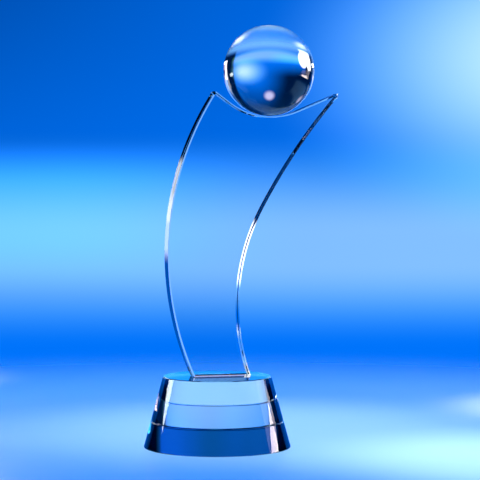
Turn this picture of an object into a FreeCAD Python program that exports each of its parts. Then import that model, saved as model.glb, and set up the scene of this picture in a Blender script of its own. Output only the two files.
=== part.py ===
import FreeCAD, Part
import math
import os

import Sketcher

# Crystal award: a two-layer round base, a curved upright plate and a ball.
# The pieces are ground separately and joined by thin films of clear adhesive.
# Frame: origin on the base's axis at its underside, +Z up, +X along the plate
# towards its longer tip, and Y across the plate. All sizes are in millimetres.

DIMENSIONS = {
    # round base: one cone, split into a blue layer and a clear layer
    "base_bottom_diameter": 97.2,
    "base_top_diameter": 71.5,
    "blue_layer_height": 17.4,
    "clear_layer_height": 29.45,
    "rim_arris": 0.5,
    # adhesive films
    "film_thickness": 0.15,
    "film_inset": 0.8,
    # curved plate: heights are above its foot, reaches are from the base's axis
    "plate_thickness": 12.0,
    "plate_arris": 0.8,
    "foot_left": 16.9,
    "foot_right": 21.5,
    "left_side_radius": 193.6,
    "left_tip_reach": 2.2,
    "left_tip_height": 187.1,
    "lower_side_radius": 136.6,
    "side_join_reach": 30.3,
    "side_join_height": 110.8,
    "right_tip_reach": 81.6,
    "right_tip_height": 184.1,
    "right_tip_land": 2.0,
    # cradle in the plate's top edge, and the ball that it holds
    "seat_reach": 35.3,
    "seat_height": 170.75,
    "seat_radius": 47.0,
    "seat_gap": 0.4,
    "seat_film_diameter": 9.0,
    "ball_diameter": 60.0,
}

NODES = (
    "blue_base",
    "base_bond",
    "clear_base",
    "plate_bond",
    "curved_plate",
    "ball_bond",
    "crystal_ball",
)

# Levels up the award, as expressions of the sheet's cells.
CLEAR_LEVEL = "(Dimensions.blue_layer_height + Dimensions.film_thickness)"
BASE_TOP = f"({CLEAR_LEVEL} + Dimensions.clear_layer_height)"
FOOT_LEVEL = f"({BASE_TOP} + Dimensions.film_thickness)"
SEAT_LEVEL = f"({FOOT_LEVEL} + Dimensions.seat_height)"


def cone_radius(level):
    """Expression for the radius of the base's cone at a level."""
    bottom = "Dimensions.base_bottom_diameter"
    spread = f"({bottom} - Dimensions.base_top_diameter)"
    return f"({bottom} - {spread} * {level} / {BASE_TOP}) / 2"


def make_sheet(doc):
    """Spreadsheet of the driving dimensions, one aliased cell each."""
    sheet = doc.addObject("Spreadsheet::Sheet", "Dimensions")
    for row, (alias, value) in enumerate(DIMENSIONS.items(), start=1):
        sheet.set(f"A{row}", alias)
        sheet.set(f"B{row}", str(value))
        sheet.setAlias(f"B{row}", alias)
    doc.recompute()
    return sheet


def new_body(doc, name):
    body = doc.addObject("PartDesign::Body", name)
    body.Label = name
    return body


def upright_sketch(body, name):
    """Sketch on the body's own XZ plane: its x is X and its y is Z."""
    planes = [item for item in body.Origin.OriginFeatures if item.Role == "XZ_Plane"]
    sketch = body.newObject("Sketcher::SketchObject", name)
    sketch.AttachmentSupport = [(planes[0], "")]
    sketch.MapMode = "FlatFace"
    return sketch


def vector(point):
    return FreeCAD.Vector(point[0], point[1], 0)


def add_line(sketch, start, end):
    return sketch.addGeometry(Part.LineSegment(vector(start), vector(end)))


def add_arc(sketch, centre, radius, start, end):
    """Anticlockwise arc about centre, from start's direction to end's."""
    angles = [math.atan2(p[1] - centre[1], p[0] - centre[0]) for p in (start, end)]
    circle = Part.Circle(vector(centre), FreeCAD.Vector(0, 0, 1), radius)
    return sketch.addGeometry(Part.ArcOfCircle(circle, angles[0], angles[1]))


def bind(sketch, constraint, expression):
    """Add a dimension to the sketch and bind it to the sheet."""
    index = sketch.addConstraint(constraint)
    sketch.setExpression(f"Constraints[{index}]", expression)


def add_chamfer(body, feature, edges, size):
    """Chamfer the named edges of the feature."""
    chamfer = body.newObject("PartDesign::Chamfer", body.Name + "_arris")
    chamfer.Base = (feature, edges)
    chamfer.setExpression("Size", size)
    return chamfer


def edge_names(shape, wanted):
    """Names of the shape's edges that the test picks out."""
    return [f"Edge{n}" for n, edge in enumerate(shape.Edges, start=1) if wanted(edge)]


def base_layer(doc, name, bottom_level, top_level):
    """One ground layer of the base's cone, with a small arris on both rims."""
    body = new_body(doc, name)
    sketch = upright_sketch(body, name + "_profile")
    bottom, top, height = 45.0, 40.0, 20.0
    corners = [(0, 0), (bottom, 0), (top, height), (0, height)]
    lines = [add_line(sketch, corners[n], corners[(n + 1) % 4]) for n in range(4)]
    for n in range(4):
        sketch.addConstraint(
            Sketcher.Constraint("Coincident", lines[n], 2, lines[(n + 1) % 4], 1)
        )
    sketch.addConstraint(Sketcher.Constraint("Coincident", lines[0], 1, -1, 1))
    sketch.addConstraint(Sketcher.Constraint("Horizontal", lines[0]))
    sketch.addConstraint(Sketcher.Constraint("Horizontal", lines[2]))
    sketch.addConstraint(Sketcher.Constraint("Vertical", lines[3]))
    bind(
        sketch,
        Sketcher.Constraint("DistanceX", -1, 1, lines[0], 2, bottom),
        cone_radius(bottom_level),
    )
    bind(
        sketch,
        Sketcher.Constraint("DistanceX", -1, 1, lines[1], 2, top),
        cone_radius(top_level),
    )
    bind(
        sketch,
        Sketcher.Constraint("DistanceY", -1, 1, lines[1], 2, height),
        f"{top_level} - {bottom_level}",
    )
    solid = body.newObject("PartDesign::Revolution", name + "_solid")
    solid.Profile = sketch
    solid.ReferenceAxis = (sketch, ["V_Axis"])
    solid.Angle = 360.0
    doc.recompute()
    rims = edge_names(solid.Shape, lambda edge: isinstance(edge.Curve, Part.Circle))
    add_chamfer(body, solid, rims, "Dimensions.rim_arris")
    body.setExpression("Placement.Base.z", bottom_level)
    return body


def base_film(doc):
    """Adhesive film between the two layers of the base."""
    film = doc.addObject("Part::Cylinder", "base_bond")
    level = "Dimensions.blue_layer_height"
    film.setExpression("Radius", f"{cone_radius(level)} - Dimensions.film_inset")
    film.setExpression("Height", "Dimensions.film_thickness")
    film.setExpression("Placement.Base.z", level)
    return film


def plate_film(doc):
    """Adhesive film under the plate's foot, inside the foot's arrises."""
    film = doc.addObject("Part::Box", "plate_bond")
    film.setExpression(
        "Length",
        "Dimensions.foot_left + Dimensions.foot_right - 2 * Dimensions.film_inset",
    )
    film.setExpression(
        "Width",
        "Dimensions.plate_thickness - 2 * Dimensions.plate_arris"
        " - 2 * Dimensions.film_inset",
    )
    film.setExpression("Height", "Dimensions.film_thickness")
    film.setExpression(
        "Placement.Base.x", "Dimensions.film_inset - Dimensions.foot_left"
    )
    film.setExpression(
        "Placement.Base.y",
        "Dimensions.film_inset + Dimensions.plate_arris"
        " - Dimensions.plate_thickness / 2",
    )
    film.setExpression("Placement.Base.z", BASE_TOP)
    return film


def centre_right_of(lower, upper, radius):
    """Centre, on the right-hand side, of the arc through two points."""
    run, rise = upper[0] - lower[0], upper[1] - lower[1]
    chord = math.hypot(run, rise)
    offset = math.sqrt(radius**2 - chord**2 / 4)
    return (
        (lower[0] + upper[0]) / 2 + offset * rise / chord,
        (lower[1] + upper[1]) / 2 - offset * run / chord,
    )


def tangent_point(centre, radius, point, turn):
    """Where the line from the point touches the circle, turning by +1 or -1."""
    run, rise = point[0] - centre[0], point[1] - centre[1]
    swing = turn * math.acos(radius / math.hypot(run, rise))
    angle = math.atan2(rise, run) + swing
    return centre[0] + radius * math.cos(angle), centre[1] + radius * math.sin(angle)


def plate_outline(sketch):
    """The plate's outline: foot, bowed sides, two tips and the ball's cradle."""
    size = DIMENSIONS
    foot_left = (-size["foot_left"], 0)
    foot_right = (size["foot_right"], 0)
    left_tip = (-size["left_tip_reach"], size["left_tip_height"])
    join = (size["side_join_reach"], size["side_join_height"])
    tip_low = (size["right_tip_reach"], size["right_tip_height"])
    tip_high = (tip_low[0], tip_low[1] + size["right_tip_land"])
    seat = (size["seat_reach"], size["seat_height"] + size["seat_radius"])
    seat_left = tangent_point(seat, size["seat_radius"], left_tip, 1)
    seat_right = tangent_point(seat, size["seat_radius"], tip_high, -1)
    left_centre = centre_right_of(foot_left, left_tip, size["left_side_radius"])
    low_radius = size["lower_side_radius"]
    low_centre = centre_right_of(foot_right, join, low_radius)
    # the upper arc carries on from the lower one and ends at the right tip
    normal = [(low_centre[n] - join[n]) / low_radius for n in (0, 1)]
    run = [tip_low[n] - join[n] for n in (0, 1)]
    along = run[0] * normal[0] + run[1] * normal[1]
    high_radius = (run[0] ** 2 + run[1] ** 2) / (2 * along)
    high_centre = [join[n] + high_radius * normal[n] for n in (0, 1)]

    foot = add_line(sketch, foot_left, foot_right)
    low_side = add_arc(sketch, low_centre, low_radius, join, foot_right)
    high_side = add_arc(sketch, high_centre, high_radius, tip_low, join)
    land = add_line(sketch, tip_low, tip_high)
    right_flank = add_line(sketch, tip_high, seat_right)
    cradle = add_arc(sketch, seat, size["seat_radius"], seat_left, seat_right)
    left_flank = add_line(sketch, seat_left, left_tip)
    left_side = add_arc(
        sketch, left_centre, size["left_side_radius"], left_tip, foot_left
    )

    for kind, first, first_end, second, second_end in (
        ("Coincident", foot, 2, low_side, 2),
        ("Tangent", low_side, 1, high_side, 2),
        ("Coincident", high_side, 1, land, 1),
        ("Coincident", land, 2, right_flank, 1),
        ("Tangent", right_flank, 2, cradle, 2),
        ("Tangent", cradle, 1, left_flank, 1),
        ("Coincident", left_flank, 2, left_side, 1),
        ("Coincident", left_side, 2, foot, 1),
    ):
        sketch.addConstraint(
            Sketcher.Constraint(kind, first, first_end, second, second_end)
        )
    sketch.addConstraint(Sketcher.Constraint("Horizontal", foot))
    sketch.addConstraint(Sketcher.Constraint("PointOnObject", foot, 1, -1))
    sketch.addConstraint(Sketcher.Constraint("Vertical", land))

    for kind, near, near_end, far, far_end, value, name in (
        ("DistanceX", foot, 1, -1, 1, -foot_left[0], "foot_left"),
        ("DistanceX", -1, 1, foot, 2, foot_right[0], "foot_right"),
        ("DistanceX", left_flank, 2, -1, 1, -left_tip[0], "left_tip_reach"),
        ("DistanceY", -1, 1, left_flank, 2, left_tip[1], "left_tip_height"),
        ("DistanceX", -1, 1, low_side, 1, join[0], "side_join_reach"),
        ("DistanceY", -1, 1, low_side, 1, join[1], "side_join_height"),
        ("DistanceX", -1, 1, land, 1, tip_low[0], "right_tip_reach"),
        ("DistanceY", -1, 1, land, 1, tip_low[1], "right_tip_height"),
        ("DistanceY", land, 1, land, 2, size["right_tip_land"], "right_tip_land"),
        ("DistanceX", -1, 1, cradle, 3, seat[0], "seat_reach"),
    ):
        bind(
            sketch,
            Sketcher.Constraint(kind, near, near_end, far, far_end, value),
            f"Dimensions.{name}",
        )
    bind(
        sketch,
        Sketcher.Constraint("DistanceY", -1, 1, cradle, 3, seat[1]),
        "Dimensions.seat_height + Dimensions.seat_radius",
    )
    for arc, name in (
        (left_side, "left_side_radius"),
        (low_side, "lower_side_radius"),
        (cradle, "seat_radius"),
    ):
        bind(
            sketch,
            Sketcher.Constraint("Radius", arc, size[name]),
            f"Dimensions.{name}",
        )


def curved_plate(doc):
    """The upright plate: its outline padded evenly both ways, arrises ground."""
    body = new_body(doc, "curved_plate")
    sketch = upright_sketch(body, "curved_plate_outline")
    plate_outline(sketch)
    slab = body.newObject("PartDesign::Pad", "curved_plate_slab")
    slab.Profile = sketch
    slab.Midplane = True
    slab.setExpression("Length", "Dimensions.plate_thickness")
    doc.recompute()
    half = DIMENSIONS["plate_thickness"] / 2

    def on_a_face(edge):
        depths = [abs(vertex.Y) for vertex in edge.Vertexes]
        same_side = abs(edge.Vertexes[0].Y - edge.Vertexes[-1].Y) < 1e-6
        return same_side and min(depths) > half - 1e-6

    edges = edge_names(slab.Shape, on_a_face)
    add_chamfer(body, slab, edges, "Dimensions.plate_arris")
    body.setExpression("Placement.Base.z", FOOT_LEVEL)
    return body


def crystal_ball(doc):
    """The solid ball, a film's thickness above the cradle's lowest line."""
    ball = doc.addObject("Part::Sphere", "crystal_ball")
    ball.setExpression("Radius", "Dimensions.ball_diameter / 2")
    ball.setExpression("Placement.Base.x", "Dimensions.seat_reach")
    ball.setExpression(
        "Placement.Base.z",
        f"{SEAT_LEVEL} + Dimensions.seat_gap + Dimensions.ball_diameter / 2",
    )
    return ball


def ball_film(doc, ball, plate):
    """Adhesive pad that fills the gap between the ball and its cradle."""
    blank = doc.addObject("Part::Cylinder", "ball_bond_blank")
    blank.setExpression("Radius", "Dimensions.seat_film_diameter / 2")
    blank.setExpression("Height", "4 * Dimensions.seat_gap")
    blank.setExpression("Placement.Base.x", "Dimensions.seat_reach")
    blank.setExpression("Placement.Base.z", f"{SEAT_LEVEL} - Dimensions.seat_gap")
    above_plate = doc.addObject("Part::Cut", "ball_bond_above_plate")
    above_plate.Base = blank
    above_plate.Tool = plate
    film = doc.addObject("Part::Cut", "ball_bond")
    film.Base = above_plate
    film.Tool = ball
    return film


def check(doc):
    """Stop if any object failed or any piece is missing, invalid or not solid."""
    for item in doc.Objects:
        if "Invalid" in item.State or "Error" in item.State:
            raise RuntimeError(f"{item.Name} failed: {item.State}")
    for name in NODES:
        shape = doc.getObject(name).Shape
        if shape.isNull() or not shape.isValid() or len(shape.Solids) != 1:
            raise RuntimeError(f"{name} has no valid single solid")


def main():
    doc = FreeCAD.newDocument("crystal_award")
    make_sheet(doc)
    base_layer(doc, "blue_base", "0", "Dimensions.blue_layer_height")
    base_film(doc)
    base_layer(doc, "clear_base", CLEAR_LEVEL, BASE_TOP)
    plate_film(doc)
    plate = curved_plate(doc)
    ball = crystal_ball(doc)
    ball_film(doc, ball, plate)
    doc.recompute()
    check(doc)
    os.makedirs("parts", exist_ok=True)
    for name in NODES:
        shape = doc.getObject(name).Shape
        shape.exportStep(os.path.join("parts", name + ".step"))
        box = shape.BoundBox
        print(
            f"{name}: {shape.Volume:.1f} mm3,"
            f" x {box.XMin:.2f}..{box.XMax:.2f},"
            f" y {box.YMin:.2f}..{box.YMax:.2f},"
            f" z {box.ZMin:.2f}..{box.ZMax:.2f}"
        )


main()
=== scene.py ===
import math

import bmesh
import bpy
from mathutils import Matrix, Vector


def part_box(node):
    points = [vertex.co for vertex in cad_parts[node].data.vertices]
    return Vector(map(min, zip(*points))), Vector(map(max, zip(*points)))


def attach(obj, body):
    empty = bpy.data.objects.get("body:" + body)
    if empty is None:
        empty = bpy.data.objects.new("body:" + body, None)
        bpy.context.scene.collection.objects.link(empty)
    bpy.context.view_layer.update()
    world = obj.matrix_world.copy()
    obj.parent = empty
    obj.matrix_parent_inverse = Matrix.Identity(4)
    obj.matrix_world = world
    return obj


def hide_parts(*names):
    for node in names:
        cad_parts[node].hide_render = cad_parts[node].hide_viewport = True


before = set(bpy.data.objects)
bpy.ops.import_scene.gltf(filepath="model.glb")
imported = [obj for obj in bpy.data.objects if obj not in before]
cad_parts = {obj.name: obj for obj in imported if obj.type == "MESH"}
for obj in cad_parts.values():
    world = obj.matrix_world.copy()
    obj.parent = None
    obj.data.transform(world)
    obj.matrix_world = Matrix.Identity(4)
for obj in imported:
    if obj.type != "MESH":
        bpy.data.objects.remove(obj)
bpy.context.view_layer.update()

# ---------------------------------------------------------------- sizes, in metres
FILM_LOW, FILM_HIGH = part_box("base_bond")
FOOT_LOW, FOOT_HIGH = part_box("plate_bond")
PAD_LOW, PAD_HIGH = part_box("ball_bond")
BALL_LOW, BALL_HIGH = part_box("crystal_ball")

FILM_HAIR = 0.00003      # air left between a film and the crystals it joins
SEAT_RADIUS = 0.047      # of the cradle's arc
FOOT_CORNER = 0.0015     # rounding of the foot film's corners
PAD_SLACK = 0.0005       # how far past the pad a face still counts as bonded

# steps round a circle, or round one corner
RIM_STEPS = 256
PAD_STEPS = 64
CORNER_STEPS = 8
FLOOR_STEPS = 96

# ---------------------------------------------------------------- looks
CRYSTAL_IOR = 1.52
ADHESIVE_IOR = 1.48
BONDED_IOR = CRYSTAL_IOR / ADHESIVE_IOR
FILM_IOR = 1.001         # a stand-in: the crystal's glued face already has the step
HAZE_ROUGHNESS = 0.012
POLISH_STRENGTH = 0.25
POLISH_WAVE = 0.00002    # metres
# colour and density of the absorption
CLEAR_DEPTH = ((0.80, 0.95, 1.0), 1.0)
BLUE_DEPTH = ((0.02, 0.63, 0.775), 52.0)

# ---------------------------------------------------------------- studio sizes
# Lengths are metres, but the camera's lens and sensor are millimetres.
# The photographer's side is at AZIMUTH round the base, 0 being straight in front.
AZIMUTH = math.radians(-14.0)
CAMERA_DISTANCE = 1.389
CAMERA_HEIGHT = 0.194
CAMERA_PAN = math.radians(0.621)
CAMERA_TILT = math.radians(2.365)
CAMERA_LENS = 158.4
CAMERA_SENSOR = 36.0
FLOOR_GAP = 0.0001
FLOOR_RADIUS = 1.0
FLOOR_FADE = (0.3, 0.7)  # distance from the award at which the floor fades out
SOFTBOX_REACH = 0.75
POOL_HEIGHT = 1.2
POOL_SOFTNESS = 0.05

# colours of the world, from low to high, then beside and in front
LIT_BLUE = (0.20, 0.56, 1.15)
AZURE = (0.0, 0.175, 0.97)
DEEP_BLUE = (0.0, 0.10, 0.55)
NIGHT_BLUE = (0.0, 0.018, 0.12)
NAVY = (0.0, 0.004, 0.025)
ROOM_BLUE = (0.0, 0.05, 0.28)

BACK = Vector((-math.sin(AZIMUTH), math.cos(AZIMUTH), 0.0))
RIGHT = Vector((math.cos(AZIMUTH), math.sin(AZIMUTH), 0.0))
UP = Vector((0.0, 0.0, 1.0))


# ---------------------------------------------------------------- node helpers
class Graph:
    """Short calls for building a node tree."""

    def __init__(self, tree):
        self.tree = tree
        tree.nodes.clear()

    def node(self, kind, **settings):
        made = self.tree.nodes.new(kind)
        for name, value in settings.items():
            setattr(made, name, value)
        return made

    def put(self, value, socket):
        """Link a socket, or set a plain value."""
        if isinstance(value, bpy.types.NodeSocket):
            self.tree.links.new(value, socket)
        else:
            socket.default_value = value

    def math(self, operation, *values):
        made = self.node("ShaderNodeMath", operation=operation)
        for value, socket in zip(values, made.inputs):
            self.put(value, socket)
        return made.outputs[0]

    def product(self, *values):
        total = values[0]
        for value in values[1:]:
            total = self.math("MULTIPLY", total, value)
        return total

    def radius(self, x, y):
        """Distance of a point from 0, 0."""
        squares = self.math("ADD", self.product(x, x), self.product(y, y))
        return self.math("SQRT", squares)

    def dot(self, vector, direction):
        made = self.node("ShaderNodeVectorMath", operation="DOT_PRODUCT")
        self.put(vector, made.inputs[0])
        made.inputs[1].default_value = direction
        return made.outputs["Value"]

    def smooth(self, value, start, end, low=0.0, high=1.0):
        """Smooth step of value from start to end."""
        made = self.node("ShaderNodeMapRange", interpolation_type="SMOOTHSTEP")
        for name, item in zip(
            ("Value", "From Min", "From Max", "To Min", "To Max"),
            (value, start, end, low, high),
        ):
            self.put(item, made.inputs[name])
        return made.outputs["Result"]

    def mix(self, factor, first, second):
        made = self.node("ShaderNodeMix", data_type="RGBA")
        for index, value in ((0, factor), (6, first), (7, second)):
            self.put(value, made.inputs[index])
        return made.outputs[2]

    def patch(self, *axes):
        """0 at the centre of an ellipse, 1 on its edge.

        The two axes are each (value, centre, reach).
        """
        return self.radius(*(
            self.math("DIVIDE", self.math("SUBTRACT", value, centre), reach)
            for value, centre, reach in axes))

    def noise(self, coordinates, scale, detail):
        made = self.node("ShaderNodeTexNoise")
        self.put(coordinates, made.inputs["Vector"])
        made.inputs["Scale"].default_value = scale
        made.inputs["Detail"].default_value = detail
        return made.outputs["Fac"]


def rgb(red, green, blue):
    return (red, green, blue, 1.0)


def new_material(name):
    material = bpy.data.materials.new(name)
    material.use_nodes = True
    return material, Graph(material.node_tree)


# ---------------------------------------------------------------- bonded areas
def bond_of_base(graph, place):
    """1 inside the film between the base's two layers."""
    x, y, z = place
    inside = graph.math("LESS_THAN", graph.radius(x, y), FILM_HIGH.x)
    middle = (FILM_LOW.z + FILM_HIGH.z) / 2
    near = graph.math("COMPARE", z, middle, FILM_HIGH.z - FILM_LOW.z)
    return graph.product(inside, near)


def bond_of_foot(graph, place):
    """1 inside the film under the plate's foot."""
    x, y, z = place
    inside_x = graph.math("COMPARE", x, (FOOT_LOW.x + FOOT_HIGH.x) / 2,
                          (FOOT_HIGH.x - FOOT_LOW.x) / 2)
    inside_y = graph.math("COMPARE", y, 0.0, FOOT_HIGH.y)
    near = graph.math("COMPARE", z, (FOOT_LOW.z + FOOT_HIGH.z) / 2,
                      FOOT_HIGH.z - FOOT_LOW.z)
    return graph.product(inside_x, inside_y, near)


def bond_of_ball(graph, place):
    """1 inside the pad between the ball and its cradle."""
    x, y, z = place
    across = graph.math("SUBTRACT", x, (PAD_LOW.x + PAD_HIGH.x) / 2)
    inside = graph.math("LESS_THAN", graph.radius(across, y), PAD_HIGH.y)
    below = graph.math("LESS_THAN", z, PAD_HIGH.z + PAD_SLACK)
    above = graph.math("GREATER_THAN", z, PAD_LOW.z - PAD_SLACK)
    return graph.product(inside, below, above)


# ---------------------------------------------------------------- materials
def crystal(name, depth, bonds):
    """Polished crystal: it bends light, and its colour comes from its depth.

    Where a bond touches it, light passes into adhesive and not into air.
    """
    material, graph = new_material(name)
    coordinates = graph.node("ShaderNodeTexCoord").outputs["Object"]
    split = graph.node("ShaderNodeSeparateXYZ")
    graph.put(coordinates, split.inputs[0])
    place = split.outputs[0], split.outputs[1], split.outputs[2]

    shader = graph.node("ShaderNodeBsdfPrincipled")
    shader.inputs["Transmission Weight"].default_value = 1.0
    ior = CRYSTAL_IOR
    for bond in bonds:
        made = graph.node("ShaderNodeMix", data_type="FLOAT")
        for index, value in ((0, bond(graph, place)), (2, ior), (3, BONDED_IOR)):
            graph.put(value, made.inputs[index])
        ior = made.outputs[0]
    graph.put(ior, shader.inputs["IOR"])

    # faint haze from handling, in soft patches
    patches = graph.smooth(graph.noise(coordinates, 38.0, 4.0), 0.52, 0.72)
    graph.put(graph.product(patches, HAZE_ROUGHNESS), shader.inputs["Roughness"])
    graph.put(graph.mix(patches, rgb(1.0, 1.0, 1.0), rgb(0.985, 0.985, 0.985)),
              shader.inputs["Base Color"])

    # the polisher leaves a very slight wave in every face
    bump = graph.node("ShaderNodeBump")
    bump.inputs["Strength"].default_value = POLISH_STRENGTH
    bump.inputs["Distance"].default_value = POLISH_WAVE
    graph.put(graph.noise(coordinates, 70.0, 1.0), bump.inputs["Height"])
    graph.put(bump.outputs["Normal"], shader.inputs["Normal"])

    absorbed, density = depth
    volume = graph.node("ShaderNodeVolumeAbsorption")
    volume.inputs["Color"].default_value = rgb(*absorbed)
    volume.inputs["Density"].default_value = density
    output = graph.node("ShaderNodeOutputMaterial")
    graph.put(shader.outputs["BSDF"], output.inputs["Surface"])
    graph.put(volume.outputs["Volume"], output.inputs["Volume"])
    return material


def adhesive(name):
    """Cured clear adhesive, with a little cloud in it."""
    material, graph = new_material(name)
    shader = graph.node("ShaderNodeBsdfPrincipled")
    shader.inputs["Transmission Weight"].default_value = 1.0
    shader.inputs["IOR"].default_value = FILM_IOR
    shader.inputs["Roughness"].default_value = 0.0
    coordinates = graph.node("ShaderNodeTexCoord").outputs["Object"]
    cloud = graph.smooth(graph.noise(coordinates, 900.0, 2.0), 0.6, 0.75)
    graph.put(graph.mix(cloud, rgb(1.0, 1.0, 1.0), rgb(0.94, 0.96, 0.98)),
              shader.inputs["Base Color"])
    output = graph.node("ShaderNodeOutputMaterial")
    graph.put(shader.outputs["BSDF"], output.inputs["Surface"])
    return material


def floor_material():
    """Plain pale studio floor, very faintly mottled, that fades out at a distance."""
    material, graph = new_material("pale_floor")
    coordinates = graph.node("ShaderNodeTexCoord").outputs["Object"]
    shader = graph.node("ShaderNodeBsdfPrincipled")
    length = graph.node("ShaderNodeVectorMath", operation="LENGTH")
    graph.put(coordinates, length.inputs[0])
    graph.put(graph.mix(graph.noise(coordinates, 3.0, 3.0), rgb(0.80, 0.88, 0.95),
                        rgb(0.84, 0.91, 0.97)), shader.inputs["Base Color"])
    graph.put(graph.smooth(graph.noise(coordinates, 60.0, 2.0), 0.3, 0.7, 0.38, 0.46),
              shader.inputs["Roughness"])
    blend = graph.node("ShaderNodeMixShader")
    clear = graph.node("ShaderNodeBsdfTransparent")
    graph.put(graph.smooth(length.outputs["Value"], *FLOOR_FADE), blend.inputs[0])
    graph.put(shader.outputs["BSDF"], blend.inputs[1])
    graph.put(clear.outputs["BSDF"], blend.inputs[2])
    output = graph.node("ShaderNodeOutputMaterial")
    graph.put(blend.outputs["Shader"], output.inputs["Surface"])
    return material


# ---------------------------------------------------------------- studio
def make_camera():
    data = bpy.data.cameras.new("camera")
    data.lens = CAMERA_LENS
    data.sensor_width = CAMERA_SENSOR
    camera = bpy.data.objects.new("camera", data)
    bpy.context.scene.collection.objects.link(camera)
    camera.location = -CAMERA_DISTANCE * BACK + CAMERA_HEIGHT * UP
    heading = -AZIMUTH + CAMERA_PAN
    aim = Vector((math.sin(heading) * math.cos(CAMERA_TILT),
                  math.cos(heading) * math.cos(CAMERA_TILT),
                  -math.sin(CAMERA_TILT)))
    camera.rotation_euler = aim.to_track_quat("-Z", "Y").to_euler()
    bpy.context.scene.camera = camera


def make_floor():
    """Round floor, kept out of the reflections on the outside of the crystals."""
    mesh = bpy.data.meshes.new("floor")
    build = bmesh.new()
    bmesh.ops.create_circle(build, cap_ends=True, radius=FLOOR_RADIUS,
                            segments=FLOOR_STEPS)
    build.to_mesh(mesh)
    build.free()
    floor = bpy.data.objects.new("floor", mesh)
    floor.location.z = -FLOOR_GAP
    mesh.materials.append(floor_material())
    bpy.context.scene.collection.objects.link(floor)
    floor.visible_glossy = False


def add_light(name, kind, place, aim, colour):
    """Add a light at a place, turned to its aim; the caller sets size and energy."""
    data = bpy.data.lights.new(name, kind)
    data.color = colour
    lamp = bpy.data.objects.new(name, data)
    lamp.location = place
    lamp.rotation_euler = (aim - place).to_track_quat("-Z", "Y").to_euler()
    bpy.context.scene.collection.objects.link(lamp)
    return lamp, data


def make_softbox(name, bearing, spread, low, high, radiance, colour):
    """Upright softbox SOFTBOX_REACH from the award, from height low to high."""
    turn = math.radians(bearing)
    place = SOFTBOX_REACH * (math.cos(turn) * BACK + math.sin(turn) * RIGHT)
    place.z = (low + high) / 2
    _, data = add_light(name, "AREA", place, Vector((0, 0, place.z)), colour)
    data.shape = "RECTANGLE"
    data.size = 2 * SOFTBOX_REACH * math.tan(math.radians(spread / 2))
    data.size_y = high - low
    data.energy = radiance * math.pi * data.size * data.size_y


def make_glow(name, bearing, reach, low, high, width, rim, core, level):
    """Upright glowing cloth at a reach from the award, from height low to high.

    level(graph, across, height) gives its strength, across being measured to the right;
    its colour goes from rim where it is weak to core where it is strong.
    """
    turn = math.radians(bearing)
    place = reach * (math.cos(turn) * BACK + math.sin(turn) * RIGHT)
    aside = math.cos(turn) * RIGHT - math.sin(turn) * BACK
    place.z = (low + high) / 2
    lamp, data = add_light(name, "AREA", place, Vector((0, 0, place.z)), (1, 1, 1))
    data.shape = "RECTANGLE"
    data.size = width
    data.size_y = high - low
    data.energy = math.pi * width * (high - low)
    lamp.visible_diffuse = False
    data.use_nodes = True
    graph = Graph(data.node_tree)
    spot = graph.node("ShaderNodeNewGeometry").outputs["Position"]
    strength = level(graph, graph.dot(spot, aside), graph.dot(spot, UP))
    shine = graph.node("ShaderNodeEmission")
    graph.put(graph.mix(strength, rgb(*rim), rgb(*core)), shine.inputs["Color"])
    graph.put(strength, shine.inputs["Strength"])
    output = graph.node("ShaderNodeOutputLight")
    graph.put(shine.outputs[0], output.inputs["Surface"])
    return lamp


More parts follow.
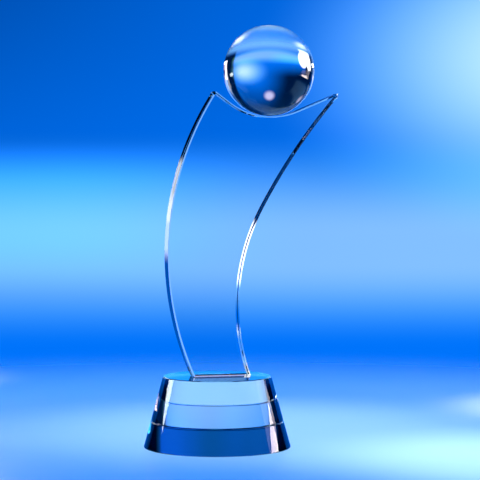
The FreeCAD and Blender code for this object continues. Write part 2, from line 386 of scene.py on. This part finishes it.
def make_glows():
    """The lit parts of the backdrop, and a white card near the award on the left.

    Cards at one bearing stand at different reaches, so that no two lie in one place.
    Bearings are degrees to the right of straight behind, lengths are metres.
    """
    def low_wide(graph, across, height):
        return graph.product(graph.smooth(height, 0.22, 0.11),
                             graph.smooth(height, -0.01, 0.08),
                             graph.smooth(graph.math("ABSOLUTE", across), 0.9, 0.60),
                             graph.smooth(across, -0.6, 0.3, 0.8, 1.0))

    def low_left(graph, across, height):
        return graph.product(graph.smooth(height, 0.21, 0.16),
                             graph.smooth(height, 0.04, 0.11),
                             graph.smooth(across, -0.9, -0.60),
                             graph.smooth(across, 0.11, -0.17))

    def low_right(graph, across, height):
        return graph.product(graph.smooth(height, 0.22, 0.16),
                             graph.smooth(height, 0.06, 0.10),
                             graph.smooth(across, 0.9, 0.60),
                             graph.smooth(across, 0.0, 0.4))

    def blue_sheen(graph, across, height):
        return graph.product(graph.smooth(height, 0.25, 0.21),
                             graph.smooth(height, 0.07, 0.10),
                             graph.smooth(graph.math("ABSOLUTE", across), 0.75, 0.45))

    def pale_sheen(graph, across, height):
        return graph.product(graph.smooth(height, 0.155, 0.175),
                             blue_sheen(graph, across, height))

    def round_right(graph, across, height):
        oval = graph.patch((across, 0.0, 0.36), (height, 0.29, 0.2))
        return graph.smooth(oval, 1.0, 0.0)

    def slanted(graph, across, height):
        edge = graph.math("ADD", across, graph.product(height, 0.67))
        tall = graph.product(graph.smooth(edge, 0.156, 0.126),
                             graph.smooth(height, 0.095, 0.12),
                             graph.smooth(height, 0.272, 0.250))
        oval = graph.patch((across, 0.035, 0.065), (height, 0.185, 0.068))
        return graph.math("MAXIMUM", tall, graph.smooth(oval, 1.0, 0.75))

    low_backdrop = make_glow("low_backdrop", 0.0, 0.80, -0.01, 0.22, 1.9,
                             (0.05, 0.33, 0.18), (0.23, 0.36, 0.18), low_wide)
    left_backdrop = make_glow("left_backdrop", 0.0, 0.82, 0.04, 0.21, 1.8,
                              (0.0, 0.17, 0.97), (0.0, 0.17, 0.97), low_left)
    right_backdrop = make_glow("right_backdrop", 26.0, 0.80, 0.09, 0.49, 0.72,
                               (0.12, 0.60, 0.9), (0.60, 0.78, 0.9), round_right)
    for lamp in (low_backdrop, left_backdrop, right_backdrop):
        lamp.visible_camera = True
    low_backdrop.visible_glossy = False     # the two sheens stand in for it there
    make_glow("right_blue", 0.0, 0.84, 0.06, 0.22, 1.8,
              (0.0, 0.02, 0.7), (0.0, 0.02, 0.7), low_right)
    # seen only in the reflections on the outside of the polished tops
    for name, reach, low, high, colour, level in (
        ("top_sheen", 0.86, 0.06, 0.26, (0.02, 0.42, 1.1), blue_sheen),
        ("cradle_sheen", 0.88, 0.15, 0.26, (1.0, 0.75, 0.3), pale_sheen),
    ):
        lamp = make_glow(name, 0.0, reach, low, high, 1.6, colour, colour, level)
        lamp.visible_transmission = False
    make_glow("white_card", -35.0, 0.40, 0.095, 0.29, 0.21,
              (1.7, 1.8, 1.9), (1.7, 1.8, 1.9), slanted)


def make_floor_lights():
    """Blue wash with white pools for the floor, kept out of the polished faces."""
    lamp, data = add_light("blue_wash", "AREA", Vector((0, 0.3, 2.0)),
                           Vector((0, 0.1, 0)), (0.0, 0.27, 1.0))
    data.shape = "DISK"
    data.size = 1.8
    data.energy = 50.0
    lamps = [lamp]
    # across and behind are metres from the award, spread is degrees, power is watts
    for name, across, behind, spread, power, colour in (
        ("pool_behind", 0.03, 0.08, 21.0, 27.0, (0.74, 1.0, 0.4)),
        ("pool_front", 0.20, -0.06, 15.0, 50.0, (0.75, 1.0, 0.8)),
        ("pool_right", 0.31, 0.21, 12.0, 130.0, (1.0, 0.98, 0.96)),
        ("pool_left", -0.34, 0.42, 14.0, 170.0, (1.0, 0.98, 0.96)),
    ):
        aim = across * RIGHT + behind * BACK
        lamp, data = add_light(name, "SPOT", aim + POOL_HEIGHT * UP, aim, colour)
        data.spot_size = math.radians(spread)
        data.spot_blend = 1.0
        data.shadow_soft_size = POOL_SOFTNESS
        data.energy = power
        lamps.append(lamp)
    for lamp in lamps:
        lamp.visible_glossy = False
        lamp.visible_transmission = False


def make_softboxes():
    """White softboxes at both sides; bearing and spread are degrees, heights metres."""
    for name, bearing, spread, low, high, radiance, colour in (
        ("left_softbox", -68.0, 16.0, 0.1475, 0.21, 9.0, (0.93, 1.0, 0.98)),
        ("right_softbox", 79.0, 22.0, 0.115, 0.163, 13.0, (1.0, 0.84, 0.80)),
        ("right_softbox_edge", 64.5, 7.0, 0.115, 0.163, 3.5, (1.0, 0.84, 0.90)),
        ("right_softbox_top", 80.0, 22.0, 0.168, 0.25, 1.2, (1.0, 0.84, 0.86)),
        ("right_softbox_side", 65.0, 10.0, 0.17, 0.40, 2.0, (1.0, 0.84, 0.86)),
    ):
        make_softbox(name, bearing, spread, low, high, radiance, colour)


def make_world():
    """Blue behind the award, brightest low down, and dark studio at both sides.

    Bearings are degrees to the right of straight behind, rises are degrees up.
    """
    world = bpy.data.worlds.new("studio")
    bpy.context.scene.world = world
    world.use_nodes = True
    graph = Graph(world.node_tree)
    way = graph.node("ShaderNodeTexCoord").outputs["Generated"]
    bearing = graph.math("DEGREES", graph.math("ARCTAN2", graph.dot(way, RIGHT),
                                               graph.dot(way, BACK)))
    rise = graph.math("DEGREES", graph.math("ARCSINE", graph.dot(way, UP)))
    aside = graph.math("ABSOLUTE", bearing)

    colour = graph.mix(graph.smooth(rise, -25.0, -12.0), rgb(*LIT_BLUE), rgb(*AZURE))
    colour = graph.mix(graph.smooth(rise, 8.0, 26.0), colour, rgb(*DEEP_BLUE))
    colour = graph.mix(graph.smooth(rise, 20.0, 50.0), colour, rgb(*NIGHT_BLUE))
    # darker to the upper left, as if a flag stood there
    flag = graph.product(graph.smooth(bearing, 14.0, -18.0),
                         graph.smooth(rise, -6.0, 9.0))
    colour = graph.mix(flag, colour, rgb(*NAVY))
    # a small warm lamp glow high behind
    glow = graph.patch((bearing, 1.0, 7.0), (rise, 26.5, 7.5))
    colour = graph.mix(graph.smooth(glow, 1.0, 0.3), colour, rgb(0.65, 0.62, 1.0))
    # dark beyond the backdrop's two edges, down to the floor
    beyond = graph.product(graph.smooth(aside, 39.0, 43.0),
                           graph.smooth(rise, -22.0, -14.0))
    colour = graph.mix(beyond, colour, rgb(*NAVY))
    # a dim blue room on the camera's side and underneath
    front = graph.math("MAXIMUM", graph.smooth(aside, 95.0, 110.0),
                       graph.smooth(rise, -40.0, -50.0))
    colour = graph.mix(front, colour, rgb(*ROOM_BLUE))
    # a dim warm patch high on the left
    glow = graph.patch((bearing, -51.0, 9.0), (rise, 38.0, 8.0))
    colour = graph.mix(graph.smooth(glow, 1.0, 0.3), colour, rgb(0.55, 0.48, 0.60))
    light = graph.node("ShaderNodeBackground")
    graph.put(colour, light.inputs["Color"])
    output = graph.node("ShaderNodeOutputWorld")
    graph.put(light.outputs[0], output.inputs["Surface"])


# ---------------------------------------------------------------- the award
def dress(node, material):
    """Give a CAD node its finished material, and let the lamps shine through it."""
    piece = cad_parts[node]
    piece.visible_shadow = False
    for slot in piece.material_slots:
        slot.material = material


def add_piece(name, build, material, node):
    """Turn a finished mesh into a piece that stands for a CAD node."""
    mesh = bpy.data.meshes.new(name)
    build.to_mesh(mesh)
    build.free()
    mesh.materials.append(material)
    piece = bpy.data.objects.new(name, mesh)
    bpy.context.scene.collection.objects.link(piece)
    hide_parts(node)
    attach(piece, "root")


def skin(build, rings):
    """Join rings of points, lowest first, into one closed skin."""
    for below, above in zip(rings, rings[1:]):
        for step in range(len(below)):
            after = (step + 1) % len(below)
            build.faces.new((below[step], below[after], above[after], above[step]))
    build.faces.new(list(reversed(rings[0])))
    build.faces.new(rings[-1])


def base_film(material):
    """The film between the base's layers: a disc with a full edge."""
    low, high = FILM_LOW.z + FILM_HAIR, FILM_HIGH.z - FILM_HAIR
    bulge = (high - low) / 2
    build = bmesh.new()
    rings = []
    for inset, height in ((bulge, low), (0.0, low + bulge), (bulge, high)):
        radius = FILM_HIGH.x - inset
        ring = []
        for step in range(RIM_STEPS):
            turn = 2 * math.pi * step / RIM_STEPS
            ring.append(build.verts.new((radius * math.cos(turn),
                                         radius * math.sin(turn), height)))
        rings.append(ring)
    skin(build, rings)
    add_piece("base_film", build, material, "base_bond")


def foot_film(material):
    """The film under the plate's foot: a strip with round corners and a full edge."""
    low, high = FOOT_LOW.z + FILM_HAIR, FOOT_HIGH.z - FILM_HAIR
    bulge = (high - low) / 2
    build = bmesh.new()
    rings = []
    for inset, height in ((bulge, low), (0.0, low + bulge), (bulge, high)):
        ring = []
        for sign_x, sign_y, start in ((1, 1, 0), (-1, 1, 90),
                                      (-1, -1, 180), (1, -1, 270)):
            edge_x = FOOT_HIGH.x if sign_x > 0 else FOOT_LOW.x
            centre = Vector((edge_x - sign_x * FOOT_CORNER,
                             sign_y * (FOOT_HIGH.y - FOOT_CORNER), height))
            for step in range(CORNER_STEPS + 1):
                turn = math.radians(start + step * 90 / CORNER_STEPS)
                reach = FOOT_CORNER - inset
                ring.append(build.verts.new(centre + reach * Vector(
                    (math.cos(turn), math.sin(turn), 0.0))))
        rings.append(ring)
    skin(build, rings)
    add_piece("foot_film", build, material, "plate_bond")


def ball_pad(material):
    """The pad that holds the ball, from the cradle's curve up to the ball's."""
    middle = (PAD_LOW + PAD_HIGH) / 2
    ball = (BALL_LOW + BALL_HIGH) / 2
    ball_radius = (BALL_HIGH.z - BALL_LOW.z) / 2
    reach = (PAD_HIGH.x - PAD_LOW.x) / 2

    def floor(x):
        return PAD_LOW.z + SEAT_RADIUS - math.sqrt(SEAT_RADIUS ** 2 - x * x) + FILM_HAIR

    def roof(x, y):
        return ball.z - math.sqrt(ball_radius ** 2 - x * x - y * y) - FILM_HAIR

    build = bmesh.new()
    rings = []
    # part of the pad's reach, and 0 on the cradle to 1 on the ball; it has a waist
    for part, lift in ((0.05, 0), (0.35, 0), (0.7, 0), (1.0, 0), (0.96, 0.33),
                       (0.96, 0.67), (1.0, 1), (0.7, 1), (0.35, 1), (0.05, 1)):
        ring = []
        for step in range(PAD_STEPS):
            turn = 2 * math.pi * step / PAD_STEPS
            x, y = part * reach * math.cos(turn), part * reach * math.sin(turn)
            height = (1 - lift) * floor(x) + lift * roof(x, y)
            ring.append(build.verts.new((middle.x + x, y, height)))
        rings.append(ring)
    skin(build, rings)
    add_piece("ball_pad", build, material, "ball_bond")


def main():
    make_camera()
    make_floor()
    make_world()
    make_floor_lights()
    make_glows()
    make_softboxes()

    for node, name, depth, bonds in (
        ("clear_base", "clear_crystal_base", CLEAR_DEPTH,
         (bond_of_base, bond_of_foot)),
        ("curved_plate", "clear_crystal_plate", CLEAR_DEPTH,
         (bond_of_foot, bond_of_ball)),
        ("crystal_ball", "clear_crystal_ball", CLEAR_DEPTH, (bond_of_ball,)),
        ("blue_base", "blue_crystal", BLUE_DEPTH, (bond_of_base,)),
    ):
        dress(node, crystal(name, depth, bonds))
    film = adhesive("cured_adhesive")
    base_film(film)
    foot_film(film)
    ball_pad(film)

    bpy.context.scene.view_settings.view_transform = "Standard"


main()
